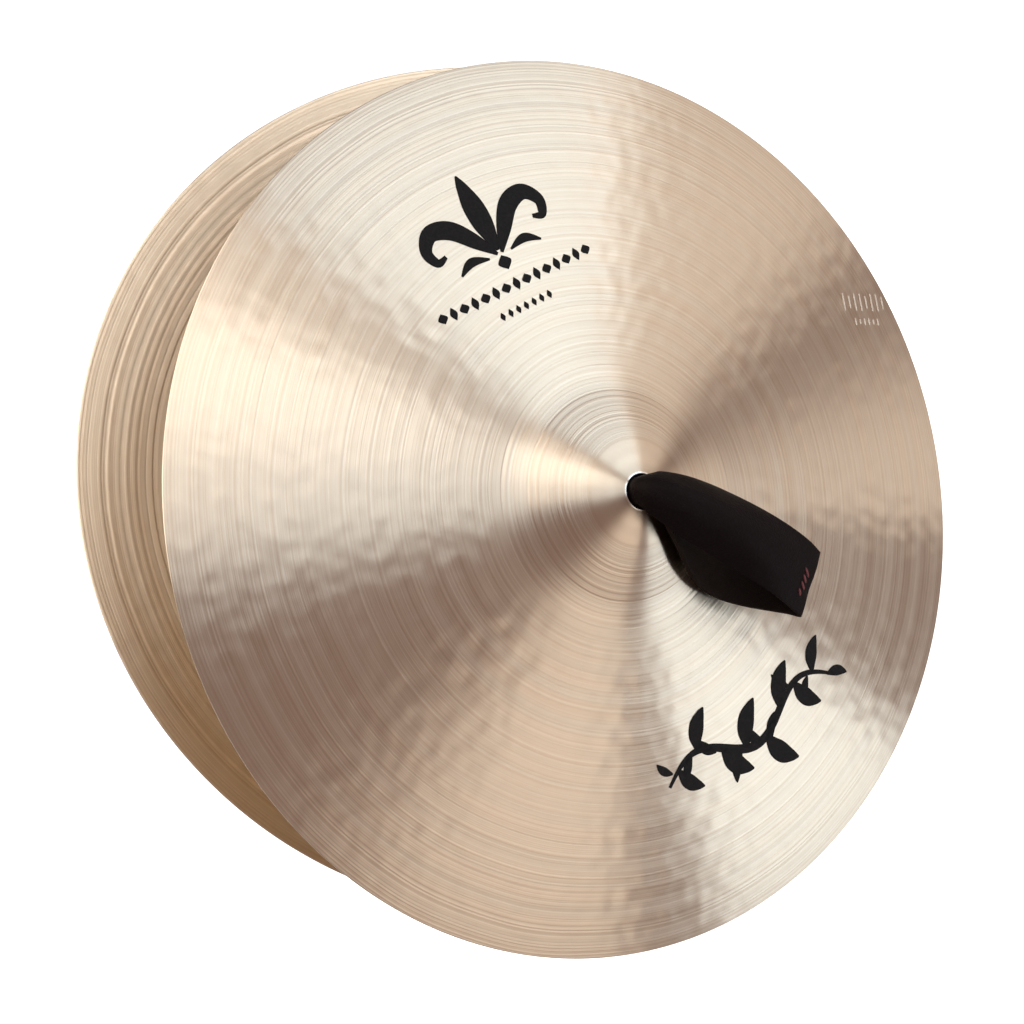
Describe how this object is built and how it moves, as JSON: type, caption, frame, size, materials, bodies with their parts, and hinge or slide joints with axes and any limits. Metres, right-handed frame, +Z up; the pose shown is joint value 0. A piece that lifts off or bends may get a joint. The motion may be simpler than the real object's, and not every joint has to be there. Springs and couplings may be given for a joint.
{
  "type": "hand cymbals",
  "caption": "Pair of thin domed bronze hand cymbals resting rim to rim, open at the top, each with a knotted leather hand strap through its bell.",
  "frame": {"origin": "centre of the mouth of the strap hole in the front cymbal's bell, on its outer face", "axes": "-Y is the way the front cymbal's outer face looks, along its own axis; +Z is up, away from the hanging straps; +X is along the hinge line that the touching rims turn about, with the rear cymbal set a little towards +X"},
  "size_m": [0.4201, 0.187, 0.4126],
  "materials": {
    "bronze": "lathe-turned and hammered bronze, polished at the hub",
    "black_leather": "black grain leather, satin",
    "knot_leather": "black leather, folded and rough"
  },
  "bodies": {
    "front_cymbal": {"front_cymbal": "bronze"},
    "rear_cymbal": {"rear_cymbal": "bronze"},
    "front_knot": {"front_strap_knot": "knot_leather", "front_strap_tail_1": "knot_leather", "front_strap_tail_2": "knot_leather", "front_strap_tail_3": "knot_leather", "front_strap_tail_4": "knot_leather"},
    "rear_knot": {"rear_strap_knot": "knot_leather", "rear_strap_tail_1": "knot_leather", "rear_strap_tail_2": "knot_leather", "rear_strap_tail_3": "knot_leather", "rear_strap_tail_4": "knot_leather"},
    "front_loop": {"front_strap_loop": "black_leather"},
    "rear_loop": {"rear_strap_loop": "black_leather"}
  },
  "joints": [
    {"name": "clam", "type": "hinge", "parent": "front_cymbal", "child": "rear_cymbal", "pos_m": [0, 0.0976, -0.1668], "axis": [-1, 0, 0], "range_deg": [-16, 60]},
    {"name": "front_strap_spin", "type": "hinge", "parent": "front_cymbal", "child": "front_knot", "pos_m": [0, 0, 0], "axis": [0, -1, 0], "continuous": true},
    {"name": "front_loop_swing", "type": "hinge", "parent": "front_knot", "child": "front_loop", "pos_m": [0, -0.0045, 0], "axis": [-1, 0, 0], "range_deg": [0, 160]},
    {"name": "rear_strap_spin", "type": "hinge", "parent": "rear_cymbal", "child": "rear_knot", "pos_m": [0.0137, 0.146, 0.001], "axis": [0, 0.9613, -0.2756], "continuous": true},
    {"name": "rear_loop_swing", "type": "hinge", "parent": "rear_knot", "child": "rear_loop", "pos_m": [0.0137, 0.15033, -0.00024], "axis": [1, 0, 0], "range_deg": [-16, 144]}
  ]
}
